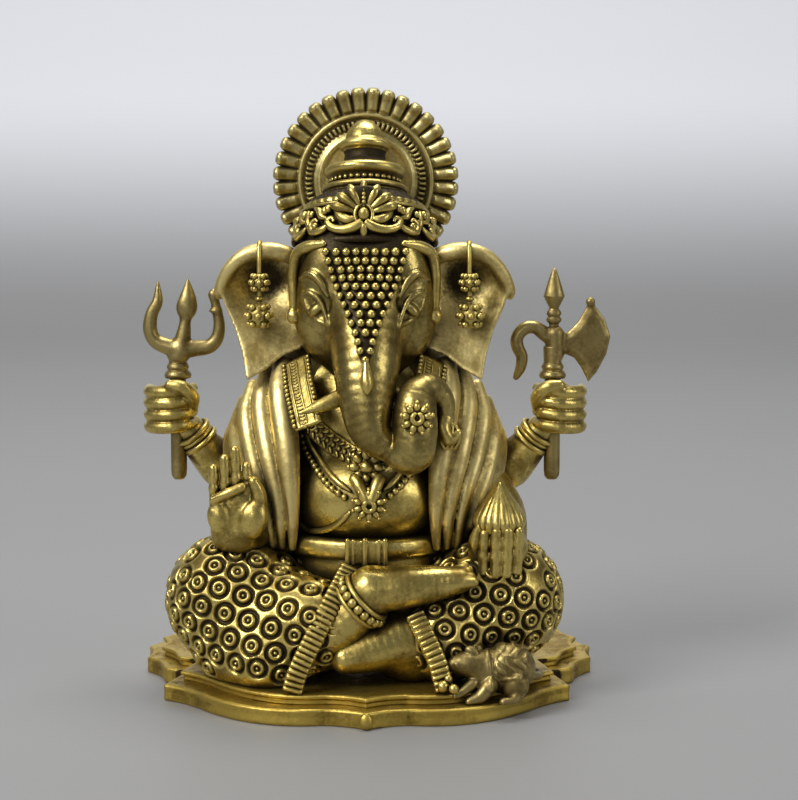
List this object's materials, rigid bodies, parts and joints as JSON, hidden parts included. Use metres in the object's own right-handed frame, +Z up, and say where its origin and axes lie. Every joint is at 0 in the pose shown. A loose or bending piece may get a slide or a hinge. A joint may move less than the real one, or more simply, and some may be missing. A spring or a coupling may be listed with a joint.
{
  "type": "hindu deity statue",
  "caption": "Seated four-armed elephant-headed deity in antiqued brass with halo, trident, axe, sweets and a mouse on a stepped scalloped plinth.",
  "frame": {"origin": "centre of the plinth's flat underside, on its left-right middle line below the seated figure", "axes": "+Z up, the figure faces -Y, +X towards the axe, which is the figure's left"},
  "size_m": [0.0953, 0.0849, 0.1201],
  "materials": {
    "burnished_brass": "burnished cast brass, dark patina in the creases",
    "antiqued_brass": "antiqued relief, near-black recesses and rubbed highlights",
    "matt_brass": "pale brushed cast brass with brown patina",
    "plinth_brass": "satin cast brass with rubbed edges"
  },
  "bodies": {
    "figure": {"plinth_plate": "plinth_brass", "plinth_step": "plinth_brass", "right_grip_hand": "burnished_brass", "left_grip_hand": "burnished_brass", "torso": "burnished_brass", "head": "burnished_brass", "trunk": "burnished_brass", "right_leg": "burnished_brass", "left_leg": "burnished_brass", "right_rear_arm": "burnished_brass", "left_rear_arm": "burnished_brass", "raised_hand": "burnished_brass", "cupped_hand": "burnished_brass", "right_shawl": "burnished_brass", "left_shawl": "burnished_brass", "right_skirt": "antiqued_brass", "left_skirt": "antiqued_brass", "crown_band": "antiqued_brass", "crown_dome": "antiqued_brass", "crown_finial": "antiqued_brass", "crown_crest": "antiqued_brass", "halo_disc": "matt_brass", "halo_ring": "matt_brass", "halo_bead_ring": "matt_brass", "halo_post": "matt_brass", "right_ear": "burnished_brass", "left_ear": "burnished_brass", "right_earring": "antiqued_brass", "left_earring": "antiqued_brass", "right_tusk": "burnished_brass", "left_tusk_stump": "burnished_brass", "forehead_net": "antiqued_brass", "forehead_drop": "antiqued_brass", "trunk_sweet": "antiqued_brass", "trunk_rosette": "antiqued_brass", "sweetmeat": "antiqued_brass", "waist_belt": "burnished_brass", "belt_buckle": "antiqued_brass", "right_bangle": "antiqued_brass", "left_bangle": "antiqued_brass", "right_collar_strap": "antiqued_brass", "left_collar_strap": "antiqued_brass", "necklace": "antiqued_brass", "bead_chain": "antiqued_brass", "sacred_thread": "burnished_brass", "upper_pendant": "antiqued_brass", "lower_pendant": "antiqued_brass", "anklet": "antiqued_brass", "right_hem": "antiqued_brass", "left_hem": "antiqued_brass", "mouse": "matt_brass", "mouse_tail": "matt_brass", "mouse_sweet": "antiqued_brass"},
    "trident": {"trident": "matt_brass"},
    "axe": {"axe": "matt_brass"}
  },
  "joints": [
    {"name": "trident_lift", "type": "slide", "parent": "figure", "child": "trident", "axis": [0, 0, 1], "range_m": [0, 0.0215]},
    {"name": "axe_lift", "type": "slide", "parent": "figure", "child": "axe", "axis": [0, 0, 1], "range_m": [0, 0.0215]}
  ]
}
